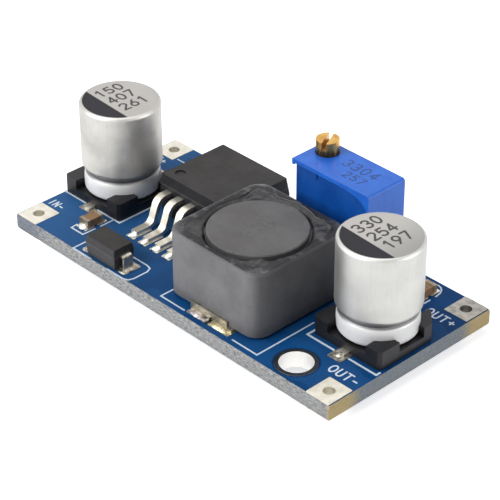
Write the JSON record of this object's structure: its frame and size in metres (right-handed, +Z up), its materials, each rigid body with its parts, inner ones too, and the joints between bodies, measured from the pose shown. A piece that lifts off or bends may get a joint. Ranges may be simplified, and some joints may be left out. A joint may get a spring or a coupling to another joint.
{
  "type": "buck converter module",
  "caption": "Small adjustable step-down converter board with two capacitor cans, a shielded inductor, a tabbed regulator and a multi-turn trimmer.",
  "frame": {"origin": "centre of the board's underside, midway between the two mounting holes", "axes": "+X along the board from the input end to the output end, +Y across it from the minus side to the plus side, +Z up out of the component side"},
  "size_m": [0.043, 0.021, 0.0138],
  "materials": {
    "solder_mask": "satin, woven glass-epoxy edges",
    "tinned_land": "satin tin over copper",
    "can_metal": "satin drawn can, part of the top dark",
    "black_base": "moulded",
    "tinned_lead": "bright tin",
    "epoxy_body": "fine matt moulding",
    "ferrite": "matt sintered",
    "enamelled_wire": "gloss enamel on copper",
    "dark_glue": "matt epoxy",
    "clip_metal": "worn tin over brass",
    "chip_ceramic": "fired",
    "chip_metal": "plated tin",
    "blue_housing": "moulded, slightly shiny",
    "blue_cover": "moulded",
    "element_ceramic": "matt",
    "cermet_track": "fired film",
    "wheel_plastic": "moulded",
    "wiper_metal": "sprung",
    "screw_brass": "turned",
    "seal_rubber": "matt",
    "retainer_steel": "stamped",
    "potting": "cast epoxy",
    "pin_metal": "tinned wire",
    "solder": "bright solder"
  },
  "bodies": {
    "module": {"board": "solder_mask", "wire_land_in_minus": "tinned_land", "wire_land_in_plus": "tinned_land", "wire_land_out_minus": "tinned_land", "wire_land_out_plus": "tinned_land", "mounting_ring_front": "tinned_land", "mounting_ring_back": "tinned_land", "capacitor_lands": "tinned_land", "regulator_lands": "tinned_land", "inductor_lands": "tinned_land", "diode_lands": "tinned_land", "chip_lands": "tinned_land", "input_can": "can_metal", "input_base": "black_base", "input_terminal_minus": "tinned_lead", "input_terminal_plus": "tinned_lead", "output_can": "can_metal", "output_base": "black_base", "output_terminal_minus": "tinned_lead", "output_terminal_plus": "tinned_lead", "regulator_body": "epoxy_body", "regulator_tab": "tinned_lead", "regulator_lead_1": "tinned_lead", "regulator_lead_2": "tinned_lead", "regulator_lead_4": "tinned_lead", "regulator_lead_5": "tinned_lead", "inductor_shield": "ferrite", "inductor_core": "ferrite", "inductor_winding": "enamelled_wire", "inductor_glue": "dark_glue", "inductor_clip_front": "clip_metal", "inductor_clip_back": "clip_metal", "diode_body": "epoxy_body", "diode_strap_cathode": "tinned_lead", "diode_strap_anode": "tinned_lead", "input_chip": "chip_ceramic", "input_chip_ends": "chip_metal", "output_chip": "chip_ceramic", "output_chip_ends": "chip_metal", "trimmer_housing": "blue_housing", "trimmer_cover": "blue_cover", "trimmer_element": "element_ceramic", "trimmer_tracks": "cermet_track", "trimmer_retainer": "retainer_steel", "trimmer_potting": "potting", "trimmer_pin_1": "pin_metal", "trimmer_pin_2": "pin_metal", "trimmer_pin_3": "pin_metal", "trimmer_solder": "solder"},
    "screw": {"trimmer_screw": "screw_brass", "trimmer_seal_ring": "seal_rubber"},
    "rotor": {"trimmer_rotor": "wheel_plastic", "trimmer_wiper": "wiper_metal"}
  },
  "joints": [
    {"name": "screw_turn", "type": "hinge", "parent": "module", "child": "screw", "pos_m": [0.00312, 0.00772, 0.00595], "axis": [0, 0, 1], "range_deg": [-4500, 4500]},
    {"name": "rotor_turn", "type": "hinge", "parent": "module", "child": "rotor", "pos_m": [0.00666, 0.00772, 0.00595], "axis": [0, 1, 0], "range_deg": [-150, 150]}
  ],
  "couplings": [
    {"joint": "rotor_turn", "follows": "screw_turn", "ratio": -0.033333}
  ]
}
